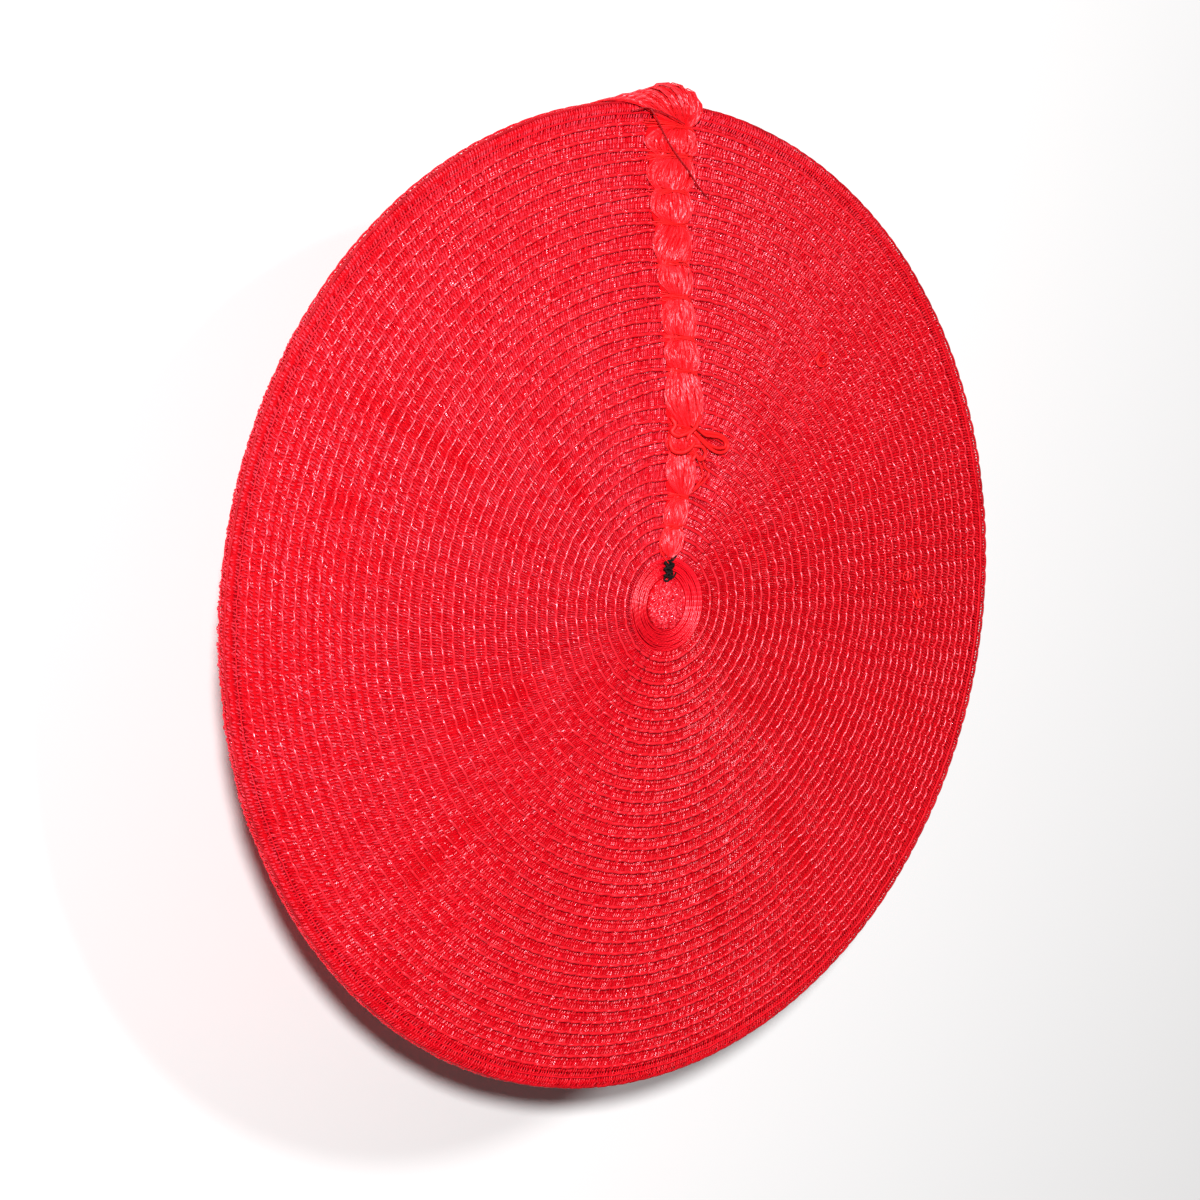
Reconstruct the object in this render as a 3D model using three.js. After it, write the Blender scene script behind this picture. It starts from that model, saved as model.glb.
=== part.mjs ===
import * as THREE from "three";
import { mergeVertices } from "three/addons/utils/BufferGeometryUtils.js";

// A zulu hat (isicholo): a wide, gently domed disc of wound red string over a flared wall that
// narrows to the head opening. A seam of loose yarn bunches runs from the middle over the rim.
// Millimetres, +Z up. The hat stands on its head opening and the seam points along +Y.

// Disc
const discRadius = 210;
const rimHeight = 122;
const rimCordRadius = 4;
const apexAboveRim = 19.3;
const domeDrop = 16.8;
const domeRadius = 207;
const crownEdge = 201.5;
const crownThickness = 3.4;

// String rings of the crown
const ringPitch = 5.1;
const ringHeight = 1;
const firstRing = 14;
const patchRecess = 1.6;
const patchSeatRadius = 11;

// Wall under the disc
const openingRadius = 92.5;
const wallTopRadius = 203;
const wallHeight = 117.6;
const wallThickness = 3.5;
const wallFlare = 2.4;
const wallSteps = 10;
const hemHeight = 9;
const hemProud = 1.3;

// Seam of yarn bunches: each row is one bunch, from the last row's end to its own end, which is
// measured along the seam from the hat's middle. Aside is how far the seam's middle line lies to
// the right at that end
const seamStart = 20.7;
const seamStartAside = -0.2;
const seamBunches = [
  { end: 33, aside: 0.8, width: 12.5, height: 1.9 },
  { end: 46, aside: 3, width: 13.5, height: 2.4 },
  { end: 64.5, aside: 4.7, width: 16.5, height: 2.8 },
  { end: 74, aside: 5.4, width: 19.5, height: 3.4 },
  { end: 98, aside: 4.8, width: 22, height: 3.4 },
  { end: 112, aside: 3.3, width: 20, height: 3.2 },
  { end: 129, aside: 1.6, width: 19.5, height: 3.2 },
  { end: 143, aside: 0.4, width: 19.5, height: 3.2 },
  { end: 158.7, aside: -0.2, width: 21, height: 3.3 },
  { end: 173, aside: 0.3, width: 23.2, height: 3.4 },
  { end: 187.4, aside: 0.8, width: 27, height: 3.6 },
  { end: 199.6, aside: 1.5, width: 30, height: 4 },
  { end: 217, aside: -2, width: 32, height: 6.2 },
];
const pinchWidthShare = 0.85;
const pinchHeightShare = 0.55;
const stepsPerBunch = 6;
const seamLiftStart = 196;

// Middle of the crown
const patchRadius = 10.2;
const patchHeight = 2.8;
const knotAlongSeam = 15.4;
const knotAside = -1.4;
const knotRadius = 2.4;
const knotThread = 0.6;
const knotWidthShare = 0.72;
const knotLengthShare = 0.95;

// Shared
const gap = 0.3;
const sidesAround = 40;
const cordSides = 10;
const patchSides = 20;

const apexHeight = rimHeight + apexAboveRim;
const rimRingRadius = discRadius - rimCordRadius;

// Height of the crest line of the crown's rings at a distance from the hat's axis
function domeHeight(radius) {
  return apexHeight - domeDrop * (radius / domeRadius) ** 2;
}

// Angle between the crown's surface and the ground at a distance from the hat's axis
function domeLean(radius) {
  return Math.atan((2 * domeDrop * radius) / domeRadius ** 2);
}

function clothMaterial(colour, roughness) {
  return new THREE.MeshStandardMaterial({ color: colour, roughness: roughness, metalness: 0 });
}

// A profile of [radius, height] pairs turned round the Z axis
function turned(profile, sides) {
  const points = profile.map(([radius, height]) => new THREE.Vector2(radius, height));
  return new THREE.LatheGeometry(points, sides).rotateX(Math.PI / 2);
}

function piece(name, geometry, material) {
  geometry.deleteAttribute("normal");
  geometry.deleteAttribute("uv");
  const closed = mergeVertices(geometry, 1e-4);
  closed.computeVertexNormals();
  const mesh = new THREE.Mesh(closed, material);
  mesh.name = name;
  return mesh;
}

// Crown: a thin dome with one raised ring for each turn of string and a seat for the patch
function crownTop() {
  const under = [0, 50, 95, 135, 170, crownEdge];
  const profile = under.map((radius) => [radius, domeHeight(radius) - crownThickness]);
  const ringCount = Math.floor((crownEdge - firstRing) / ringPitch);
  profile.push([crownEdge, domeHeight(crownEdge)]);
  for (let ring = ringCount; ring >= 0; ring--) {
    const crest = firstRing + ring * ringPitch;
    const valley = crest + ringPitch / 2;
    if (valley < crownEdge - 1) {
      profile.push([valley, domeHeight(valley) - ringHeight]);
    }
    profile.push([crest, domeHeight(crest)]);
  }
  profile.push([patchSeatRadius, apexHeight - patchRecess]);
  profile.push([0, apexHeight - patchRecess]);
  return turned(profile, sidesAround);
}

// Rim: the wound cord that closes the edge between the crown and the wall
function rimCord() {
  const profile = [];
  for (let side = 0; side < cordSides; side++) {
    const angle = (2 * Math.PI * side) / cordSides;
    const radius = rimRingRadius + rimCordRadius * Math.cos(angle);
    profile.push([radius, rimHeight + rimCordRadius * Math.sin(angle)]);
  }
  profile.push(profile[0]);
  return turned(profile, sidesAround);
}

// Wall: the radius grows as a power of the height, and the inside is the same curve set in by
// the wall's thickness, square to it
function sideWall() {
  const spread = wallTopRadius - openingRadius;
  const outer = [
    [openingRadius + hemProud, 0],
    [openingRadius + hemProud, hemHeight - hemProud],
  ];
  const inner = [[openingRadius - wallThickness, 0]];
  for (let step = 1; step <= wallSteps; step++) {
    const height = hemHeight + ((wallHeight - hemHeight) * (step - 1)) / (wallSteps - 1);
    const share = height / wallHeight;
    const radius = openingRadius + spread * share ** wallFlare;
    const lean = Math.atan((spread * wallFlare * share ** (wallFlare - 1)) / wallHeight);
    outer.push([radius, height]);
    inner.push([radius - wallThickness * Math.cos(lean), height + wallThickness * Math.sin(lean)]);
  }
  const profile = [...outer, ...inner.reverse(), outer[0]];
  return turned(profile, sidesAround);
}

// Where the seam lies: along the crown, level to the top of the rim cord, then round the cord
function seamSeat(distance) {
  if (distance < rimRingRadius) {
    const crossing = Math.max(0, (distance - seamLiftStart) / (rimRingRadius - seamLiftStart));
    const onCrown = domeHeight(Math.min(distance, seamLiftStart)) + gap;
    const onCord = rimHeight + rimCordRadius + gap;
    return {
      radius: distance,
      height: onCrown + (onCord - onCrown) * crossing,
      lean: domeLean(distance) * (1 - crossing),
    };
  }
  const reach = rimCordRadius + gap;
  const lean = (distance - rimRingRadius) / reach;
  return {
    radius: rimRingRadius + reach * Math.sin(lean),
    height: rimHeight + reach * Math.cos(lean),
    lean: lean,
  };
}

// Seam: a closed tube with a flat underside whose width and height swell in each bunch and pull
// in at each tie, along a middle line that wanders a little
function seamBunchStrip() {
  const alongSteps = seamBunches.length * stepsPerBunch;
  const geometry = new THREE.SphereGeometry(1, cordSides, alongSteps);
  const position = geometry.getAttribute("position");
  for (let row = 0; row <= alongSteps; row++) {
    const index = Math.min(Math.floor(row / stepsPerBunch), seamBunches.length - 1);
    const bunch = seamBunches[index];
    const start = index > 0 ? seamBunches[index - 1].end : seamStart;
    const startAside = index > 0 ? seamBunches[index - 1].aside : seamStartAside;
    const share = (row - index * stepsPerBunch) / stepsPerBunch;
    const swell = Math.sin(Math.PI * share) ** 0.7;
    const tip = row === 0 || row === alongSteps ? 0 : 1;
    const width = tip * bunch.width * (pinchWidthShare + (1 - pinchWidthShare) * swell);
    const height = bunch.height * (pinchHeightShare + (1 - pinchHeightShare) * swell);
    const seat = seamSeat(start + (bunch.end - start) * share);
    const middle = startAside + (bunch.aside - startAside) * share;
    for (let column = 0; column <= cordSides; column++) {
      const angle = (2 * Math.PI * (column % cordSides)) / cordSides;
      const aside = middle + (width / 2) * Math.cos(angle);
      const lift = tip * height * Math.max(0, Math.sin(angle)) + (1 - tip) * 0.3 * height;
      const radius = seat.radius + lift * Math.sin(seat.lean);
      const turn = aside / seat.radius;
      position.setXYZ(
        row * (cordSides + 1) + column,
        radius * Math.sin(turn),
        radius * Math.cos(turn),
        seat.height + lift * Math.cos(seat.lean),
      );
    }
  }
  return geometry;
}

// Patch: a low woolly button in the crown's seat
function centrePatch() {
  const base = apexHeight - patchRecess + gap;
  return turned(
    [
      [0, base],
      [patchRadius - 0.6, base],
      [patchRadius, base + 0.3 * patchHeight],
      [patchRadius * 0.82, base + 0.75 * patchHeight],
      [patchRadius * 0.5, base + patchHeight],
      [0, base + 0.9 * patchHeight],
    ],
    patchSides,
  );
}

// Knot: the end of the dark sewing thread, tied just before the seam begins
function centreKnot() {
  const geometry = new THREE.TorusKnotGeometry(knotRadius, knotThread, 42, 6, 2, 3);
  geometry.scale(knotWidthShare, knotLengthShare, 1);
  const half = knotRadius / 2 + knotThread;
  geometry.translate(knotAside, knotAlongSeam, domeHeight(knotAlongSeam) + gap + half);
  return geometry;
}

const netRed = clothMaterial(0xe32a3c, 0.85);
const rimRed = clothMaterial(0xe62e40, 0.85);
const wallRed = clothMaterial(0xcf2234, 0.9);
const seamRed = clothMaterial(0xf02a24, 0.9);
const patchRed = clothMaterial(0xc82436, 0.95);
const threadBlack = clothMaterial(0x17110f, 0.8);

const seam = piece("seam_bunches", seamBunchStrip(), seamRed);
seam.geometry.computeBoundingBox();
const tuftProud = seam.geometry.boundingBox.max.y - discRadius;

const hat = new THREE.Group();
hat.add(piece("crown_top", crownTop(), netRed));
hat.add(piece("rim_cord", rimCord(), rimRed));
hat.add(piece("side_wall", sideWall(), wallRed));
hat.add(seam);
hat.add(piece("centre_patch", centrePatch(), patchRed));
hat.add(piece("centre_knot", centreKnot(), threadBlack));

// The tuft makes the hat longer on the seam's side, so the hat's axis sits half of that behind
// the origin, which is the middle of the whole outline
hat.position.y = -tuftProud / 2;

export default hat;
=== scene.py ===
import math

import bpy
import numpy as np
from mathutils import Matrix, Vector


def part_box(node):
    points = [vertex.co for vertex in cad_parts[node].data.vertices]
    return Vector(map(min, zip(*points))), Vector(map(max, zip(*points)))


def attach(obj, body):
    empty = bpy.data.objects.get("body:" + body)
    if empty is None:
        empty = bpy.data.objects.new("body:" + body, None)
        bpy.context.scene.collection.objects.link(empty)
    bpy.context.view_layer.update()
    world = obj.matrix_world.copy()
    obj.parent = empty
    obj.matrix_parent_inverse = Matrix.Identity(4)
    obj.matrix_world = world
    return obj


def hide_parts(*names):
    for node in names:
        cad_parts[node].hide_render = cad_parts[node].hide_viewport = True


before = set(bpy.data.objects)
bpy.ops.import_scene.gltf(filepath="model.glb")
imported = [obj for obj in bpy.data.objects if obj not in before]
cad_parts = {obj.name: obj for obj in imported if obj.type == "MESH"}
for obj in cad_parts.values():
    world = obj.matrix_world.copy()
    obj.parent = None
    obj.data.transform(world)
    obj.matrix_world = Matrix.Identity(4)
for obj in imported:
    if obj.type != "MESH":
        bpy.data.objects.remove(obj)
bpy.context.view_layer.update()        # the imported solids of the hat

fullTurn = 2 * math.pi
noiseReach = 0.21       # the noise's rows reach from the axis to here
print("frame loaded")

# The hat's form in metres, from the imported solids: a dome that falls with the square of the
# distance from the axis, a round rim cord, and a wall whose radius grows as a power of height
rimLow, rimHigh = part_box("rim_cord")
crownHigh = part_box("crown_top")[1]
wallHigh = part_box("side_wall")[1]
hat = {
    "axisX": (rimLow.x + rimHigh.x) / 2,
    "axisY": (rimLow.y + rimHigh.y) / 2,
    "rimHeight": (rimLow.z + rimHigh.z) / 2,
    "rimRing": rimHigh.x - 0.004,       # inside the cord's outer edge by its radius
    "crownEdge": crownHigh.x,
    "apexAboveRim": 0.0193,
    "domeDrop": 0.0168,
    "domeRadius": 0.207,
    "wallTop": 0.1176,
    "wallTopRadius": wallHigh.x,
    "openingRadius": 0.0925,
    "wallFlare": 2.4,
}


# Small tools for numbers that vary round the hat

def smoothStep(value):
    value = np.clip(value, 0.0, 1.0)
    return value * value * (3 - 2 * value)


# Noise that closes on itself round the hat: random knots on a grid of angle and distance,
# joined by smooth steps
def roundNoise(angle, distance, knots, rows, seed):
    table = np.random.default_rng(seed).uniform(-1, 1, (rows + 1, knots))
    across = np.mod(angle, fullTurn) / fullTurn * knots
    along = np.clip(distance / noiseReach, 0, 0.9999) * rows
    column = np.floor(across).astype(int)
    row = np.floor(along).astype(int)
    u = smoothStep(across - column)
    v = smoothStep(along - row)
    left = column % knots
    right = (column + 1) % knots
    low = table[row, left] * (1 - u) + table[row, right] * u
    high = table[row + 1, left] * (1 - u) + table[row + 1, right] * u
    return low * (1 - v) + high * v


# The dome's height at a distance from the axis
def domeHeight(distance):
    drop = hat["domeDrop"] * (distance / hat["domeRadius"]) ** 2
    return hat["rimHeight"] + hat["apexAboveRim"] - drop


# Each profile gives distance, height, and the outward and upward parts of its normal
def crownProfile(distance):
    lean = np.arctan(2 * hat["domeDrop"] * distance / hat["domeRadius"] ** 2)
    return distance, domeHeight(distance), np.sin(lean), np.cos(lean)


# Round the rim cord: the turn is measured from its top, outwards and down
def rimProfile(turn, radius):
    outward, upward = np.sin(turn), np.cos(turn)
    return hat["rimRing"] + radius * outward, hat["rimHeight"] + radius * upward, outward, upward


# Down the outside of the wall
def wallProfile(height):
    share = np.clip(height / hat["wallTop"], 1e-6, 1)
    spread = hat["wallTopRadius"] - hat["openingRadius"]
    distance = hat["openingRadius"] + spread * share ** hat["wallFlare"]
    lean = np.arctan(spread * hat["wallFlare"] * share ** (hat["wallFlare"] - 1) / hat["wallTop"])
    return distance, height, np.cos(lean), -np.sin(lean)


# A point lifted off a profile at an angle round the axis, and the normal there
def placeOn(profile, angle, lift):
    distance, height, outward, upward = profile
    reach = distance + lift * outward
    level = height + lift * upward + 0 * angle
    place = np.stack(
        (hat["axisX"] + reach * np.cos(angle), hat["axisY"] + reach * np.sin(angle), level), -1)
    normal = np.stack(
        (outward * np.cos(angle), outward * np.sin(angle), upward + 0 * angle), -1)
    return place, normal


# Meshes

def unit(vectors):
    return vectors / np.maximum(np.linalg.norm(vectors, axis=-1, keepdims=True), 1e-12)


# The two directions across a path: aside of it along the surface, and up from the surface
def sideAndLift(tangent, normal):
    side = unit(np.cross(tangent, normal))
    return side, np.cross(side, tangent)


# The angles of a ring's corners; an odd number of them has one on top
def cornerAngles(sides):
    return fullTurn * (np.arange(sides) + 0.25 * (sides % 2 == 1) * sides) / sides


# Flattened rings of corners round path points, spread along the side and the lift
def ringCorners(path, side, lift, around, halfWidth, halfHeight):
    halfWidth = np.broadcast_to(halfWidth, path.shape[:2])[..., None, None]
    halfHeight = np.broadcast_to(halfHeight, path.shape[:2])[..., None, None]
    spread = side[:, :, None] * np.cos(around) * halfWidth
    return path[:, :, None] + spread + lift[:, :, None] * np.sin(around) * halfHeight


# Tubes along one path or many at once: every path point carries a ring of corners, turned by the
# twist from point to point, and the two ends are closed by a flat cap.
# Returns vertices, faces with four corners, end faces, and length, turn and tone per vertex
def threadTubes(path, normal, halfWidth, halfHeight, sides, tone, loop=False, twist=0.0, start=0.0):
    if path.ndim == 2:
        path, normal = path[None], normal[None]
    count, steps = path.shape[:2]
    if loop:
        tangent = unit(np.roll(path, -1, 1) - np.roll(path, 1, 1))
    else:
        tangent = unit(np.gradient(path, axis=1))
    side, lift = sideAndLift(tangent, normal)
    start = np.broadcast_to(start, (count,))[:, None, None]
    around = cornerAngles(sides)[None, None] + twist * np.arange(steps)[None, :, None] + start
    corners = ringCorners(path, side, lift, around[..., None], halfWidth, halfHeight)
    gaps = np.linalg.norm(np.diff(path, axis=1), axis=-1)
    length = np.concatenate((np.zeros((count, 1)), np.cumsum(gaps, 1)), 1)
    if loop:
        length = np.minimum(length, length[:, -1:] + gaps[:, -1:] - length)
    strand = np.empty((count, steps, sides, 3))
    strand[..., 0] = length[:, :, None]
    strand[..., 1] = np.arange(sides) / sides
    strand[..., 2] = np.broadcast_to(tone, (count, steps))[:, :, None]
    number = np.arange(count * steps * sides).reshape(count, steps, sides)
    after = np.roll(number, -1, 1) if loop else number[:, 1:]
    before = number if loop else number[:, :-1]
    quads = np.stack(
        (before, after, np.roll(after, -1, 2), np.roll(before, -1, 2)), -1).reshape(-1, 4)
    if loop:
        caps = np.zeros((0, sides), int)
    else:
        caps = np.concatenate((number[:, 0], number[:, -1, ::-1]))
    return corners.reshape(-1, 3), quads, caps, strand.reshape(-1, 3)


# Short fat stitches, many at once, each pinched to a point at both ends of its path and rolled
# a little about it. The faces of one stitch are repeated with a step in the vertex numbers
def pinchedStitches(path, normal, halfWidth, halfHeight, sides, tone, roll):
    count, steps = path.shape[:2]
    side, lift = sideAndLift(unit(np.gradient(path, axis=1)), normal)
    roll = roll[:, None, None]
    side, lift = side * np.cos(roll) + lift * np.sin(roll), lift * np.cos(roll) - side * np.sin(roll)
    around = cornerAngles(sides)[None, None, :, None]
    inner = slice(1, -1)
    rings = ringCorners(
        path[:, inner], side[:, inner], lift[:, inner], around, halfWidth, halfHeight)
    vertices = np.concatenate((path[:, :1], rings.reshape(count, -1, 3), path[:, -1:]), 1)
    perStitch = vertices.shape[1]
    number = 1 + np.arange((steps - 2) * sides).reshape(steps - 2, sides)
    beside = np.roll(number, -1, 1)
    quads = np.stack((number[:-1], number[1:], beside[1:], beside[:-1]), -1).reshape(-1, 4)
    tips = np.concatenate((
        np.stack((np.zeros(sides, int), number[0], beside[0]), -1),
        np.stack((np.full(sides, perStitch - 1), beside[-1], number[-1]), -1)))
    offset = (np.arange(count) * perStitch)[:, None, None]
    strand = np.empty((count, perStitch, 3))
    length = np.linalg.norm(path[:, -1] - path[:, 0], axis=-1)[:, None]
    share = np.concatenate(([0.0], np.repeat(np.linspace(0.2, 0.8, steps - 2), sides), [1.0]))
    strand[..., 0] = length * share[None]
    strand[..., 1] = np.concatenate(([0.0], np.tile(np.arange(sides) / sides, steps - 2), [0.0]))
    strand[..., 2] = tone[:, None]
    quads = (quads[None] + offset).reshape(-1, 4)
    tips = (tips[None] + offset).reshape(-1, 3)
    return vertices.reshape(-1, 3), quads, tips, strand.reshape(-1, 3)


# Joins several sets of tubes into one
def joinTubes(parts):
    offsets = np.cumsum([0] + [len(part[0]) for part in parts])
    quads = [part[1] + offset for part, offset in zip(parts, offsets)]
    caps = [part[2] + offset for part, offset in zip(parts, offsets) if len(part[2])]
    joined = ([part[0] for part in parts], quads, caps or [parts[0][2]], [part[3] for part in parts])
    return tuple(np.concatenate(item) for item in joined)


# A piece of the hat from its vertices, sets of faces with as many corners each, and the strand's
# length, turn and tone at each vertex
def makePiece(name, vertices, faceSets, strand, material, smooth=True):
    mesh = bpy.data.meshes.new(name)
    faceSets = [faces for faces in faceSets if len(faces)]
    corners = np.concatenate([faces.ravel() for faces in faceSets]).astype(np.int32)
    sizes = np.concatenate([np.full(len(faces), faces.shape[1]) for faces in faceSets])
    starts = np.concatenate(([0], np.cumsum(sizes)[:-1])).astype(np.int32)
    mesh.vertices.add(len(vertices))
    mesh.vertices.foreach_set("co", np.ascontiguousarray(vertices, np.float32).ravel())
    mesh.loops.add(len(corners))
    mesh.loops.foreach_set("vertex_index", corners)
    mesh.polygons.add(len(sizes))
    mesh.polygons.foreach_set("loop_start", starts)
    mesh.polygons.foreach_set("use_smooth", np.full(len(sizes), smooth))
    mesh.update(calc_edges=True)
    layer = mesh.attributes.new("strand", "FLOAT_VECTOR", "POINT")
    layer.data.foreach_set("vector", np.ascontiguousarray(strand, np.float32).ravel())
    mesh.materials.append(material)
    piece = bpy.data.objects.new(name, mesh)
    bpy.context.scene.collection.objects.link(piece)
    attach(piece, "root")
    print("piece", name, int(np.sum(sizes - 2)), "triangles")
    return piece


# Joins sets of tubes into one piece
def tubePiece(name, parts, material, smooth=True):
    vertices, quads, caps, strand = joinTubes(parts)
    return makePiece(name, vertices, (quads, caps), strand, material, smooth)


# A closed shell of revolution: rows of points from a profile, each row a ring of the hat. With two
# poles the first and last row close on a point each, and without them the last row joins the
# first. The strand's length, turn and tone come as numbers or arrays that fit the rows
def shellPiece(name, rows, poles, strandParts, material, poleTone=0.0):
    rowCount, ringCount = rows.shape[:2]
    number = np.arange(rowCount * ringCount).reshape(rowCount, ringCount)
    thisRow, nextRow = (number, np.roll(number, -1, 0)) if poles is None else (number[:-1], number[1:])
    quads = np.stack(
        (thisRow, nextRow, np.roll(nextRow, -1, 1), np.roll(thisRow, -1, 1)), -1).reshape(-1, 4)
    strand = np.zeros((rowCount, ringCount, 3))
    for part, value in enumerate(strandParts):
        strand[..., part] = value
    vertices, strand, faceSets = rows.reshape(-1, 3), strand.reshape(-1, 3), [quads]
    if poles is not None:
        first, last = len(vertices), len(vertices) + 1
        vertices = np.concatenate((vertices, poles))
        strand = np.concatenate((strand, np.full((2, 3), (0.0, 0.0, poleTone))))
        start, end = number[0], number[-1]
        faceSets.append(np.stack((np.full(ringCount, first), start, np.roll(start, -1)), -1))
        faceSets.append(np.stack((np.full(ringCount, last), np.roll(end, -1), end), -1))
    return makePiece(name, vertices, faceSets, strand, material)


# Points on the hat's axis at given heights
def onAxis(*heights):
    return np.array([(hat["axisX"], hat["axisY"], height) for height in heights])


# Materials

# A new shader node with its settings, then a number, colour or link on each given input
def addNode(tree, kind, inputs, **settings):
    node = tree.nodes.new("ShaderNode" + kind)
    for name, value in settings.items():
        setattr(node, name, value)
    for name, value in inputs.items():
        if isinstance(value, bpy.types.NodeSocket):
            tree.links.new(value, node.inputs[name])
        else:
            node.inputs[name].default_value = value
    return node.outputs


def colourMix(tree, share, first, second):
    inputs = {"Factor": share, "A": first, "B": second}
    return addNode(tree, "Mix", inputs, data_type="RGBA", clamp_factor=True)["Result"]


# A node group with named inputs, each with its kind and value, and named outputs. It comes with
# its sockets and with a function that adds a math node
def newGroup(name, inputs, outputs):
    group = bpy.data.node_groups.new(name, "ShaderNodeTree")
    for label, (kind, value) in inputs.items():
        socket = group.interface.new_socket(
            name=label, in_out="INPUT", socket_type="NodeSocket" + kind)
        if value is not None:
            socket.default_value = value
    for label, kind in outputs.items():
        group.interface.new_socket(name=label, in_out="OUTPUT", socket_type="NodeSocket" + kind)

    def calc(operation, *values):
        return addNode(group, "Math", dict(enumerate(values)), operation=operation)[0]

    given, result = group.nodes.new("NodeGroupInput"), group.nodes.new("NodeGroupOutput")
    return group, given.outputs, result.inputs, calc


# Twisted yarn: plies wind round the strand as its length grows, with fine fibres along them
def makeYarnTwist():
    group, given, result, calc = newGroup("yarnTwist", {
        "Strand": ("Vector", None), "Ply Pitch": ("Float", 0.002), "Ply Count": ("Float", 2.0),
        "Fibre Scale": ("Float", 2500.0), "Fibre Share": ("Float", 0.35),
    }, {"Height": "Float", "Fibre": "Float", "Chance": "Float"})
    length, turn, tone = addNode(group, "SeparateXYZ", {0: given["Strand"]})
    turns = calc("DIVIDE", length, given["Ply Pitch"])
    wound = calc("MULTIPLY", turn, given["Ply Count"])
    phase = calc("ADD", turns, wound)
    wave = calc("SINE", calc("MULTIPLY", phase, math.pi))
    ridge = calc("ABSOLUTE", wave)
    stretch = addNode(group, "CombineXYZ", {
        "X": calc("MULTIPLY", length, given["Fibre Scale"]),
        "Y": calc("MULTIPLY", phase, 5.0),
        "Z": calc("MULTIPLY", tone, 43.0)})[0]
    noise = addNode(group, "TexNoise", {"Vector": stretch, "Scale": 1.0, "Detail": 2.0})["Fac"]
    fibre = calc("MULTIPLY", noise, given["Fibre Share"])
    chance = calc("FRACT", calc("MULTIPLY", tone, 57.3))
    group.links.new(calc("ADD", ridge, fibre), result["Height"])
    group.links.new(noise, result["Fibre"])
    group.links.new(chance, result["Chance"])
    return group


# Dyed cloth with painted light: the tone of each strand, soft patches over the whole hat and the
# fibres shift the colour between a deep, a main and a worn colour; where the strand's tone is raised
# or lowered for light, the worn colour stands for painted sheen and the deep one for painted shade
def makeDyeAndPaintedLight():
    group, given, result, calc = newGroup("dyeAndPaintedLight", {
        "Strand": ("Vector", None), "Fibre": ("Float", 0.5),
        "Deep": ("Color", (0.4, 0.01, 0.02, 1)), "Main": ("Color", (0.8, 0.03, 0.05, 1)),
        "Worn_And_Sheen": ("Color", (0.9, 0.12, 0.15, 1)), "Tone Share": ("Float", 0.5),
        "Patch Share": ("Float", 0.3), "Fibre Share": ("Float", 0.4),
    }, {"Color": "Color"})
    strandTone = addNode(group, "SeparateXYZ", {0: given["Strand"]})["Z"]
    place = addNode(group, "TexCoord", {})["Object"]
    patches = addNode(group, "TexNoise", {"Vector": place, "Scale": 28.0, "Detail": 3.0})["Fac"]
    patch = calc("MULTIPLY", calc("SUBTRACT", patches, 0.5), given["Patch Share"])
    tone = calc("MULTIPLY", strandTone, given["Tone Share"])
    fibre = calc("MULTIPLY", calc("SUBTRACT", given["Fibre"], 0.5), given["Fibre Share"])
    total = calc("ADD", calc("ADD", tone, patch), fibre)
    darker = calc("MULTIPLY", total, -1.0)
    deepMix = colourMix(group, darker, given["Main"], given["Deep"])
    group.links.new(colourMix(group, total, deepMix, given["Worn_And_Sheen"]), result["Color"])
    return group


yarnTwist = makeYarnTwist()
dyeAndPaintedLight = makeDyeAndPaintedLight()

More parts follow.
